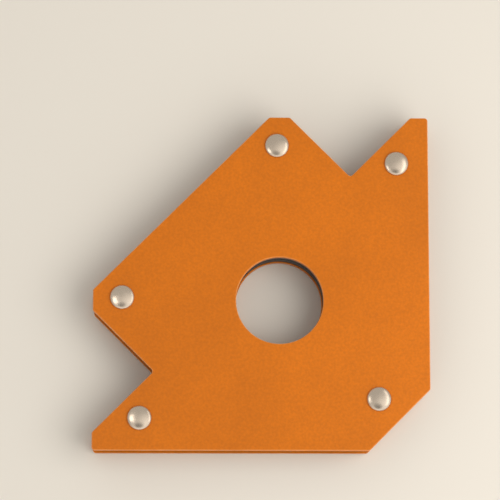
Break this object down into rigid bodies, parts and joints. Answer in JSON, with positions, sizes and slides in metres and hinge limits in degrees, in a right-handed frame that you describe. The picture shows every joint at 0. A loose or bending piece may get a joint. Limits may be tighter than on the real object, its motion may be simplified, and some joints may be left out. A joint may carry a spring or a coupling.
{
  "type": "welding magnet holder",
  "caption": "Flat arrow-shaped magnetic holder: orange steel side plates riveted over a black magnet core, with a round centre hole and V notches, for setting steel at fixed angles.",
  "frame": {"origin": "on the axis of the centre hole, midway between the two side plates", "axes": "+Z is the plates' normal and points out of the front plate, so the holder lies flat on its rear rivets; +X runs along the long bottom working edge towards the right working edge; the bottom working edge faces -Y and the right working edge faces +X"},
  "size_m": [0.105, 0.105, 0.0169],
  "materials": {
    "plate_paint": "orange powder coat, semi-gloss",
    "carrier_plastic": "black moulded ABS, fine matt texture",
    "rivet_nickel": "bright nickel-plated steel",
    "spacer_aluminium": "cut tube, mill finish",
    "magnet_nickel": "satin nickel plating"
  },
  "bodies": {
    "root": {"front_plate": "plate_paint", "rear_plate": "plate_paint", "magnet_carrier": "carrier_plastic", "rivet_left_wing": "rivet_nickel", "rivet_top_wing": "rivet_nickel", "rivet_lower_prong": "rivet_nickel", "rivet_upper_prong": "rivet_nickel", "rivet_corner": "rivet_nickel", "spacer_left_wing": "spacer_aluminium", "spacer_top_wing": "spacer_aluminium", "spacer_lower_prong": "spacer_aluminium", "spacer_upper_prong": "spacer_aluminium", "spacer_corner": "spacer_aluminium", "magnet_bottom_inner": "magnet_nickel", "magnet_bottom_outer": "magnet_nickel", "magnet_right_inner": "magnet_nickel", "magnet_right_outer": "magnet_nickel", "magnet_diagonal_left": "magnet_nickel", "magnet_diagonal_top": "magnet_nickel", "magnet_notch_left": "magnet_nickel", "magnet_notch_top": "magnet_nickel"}
  },
  "joints": []
}
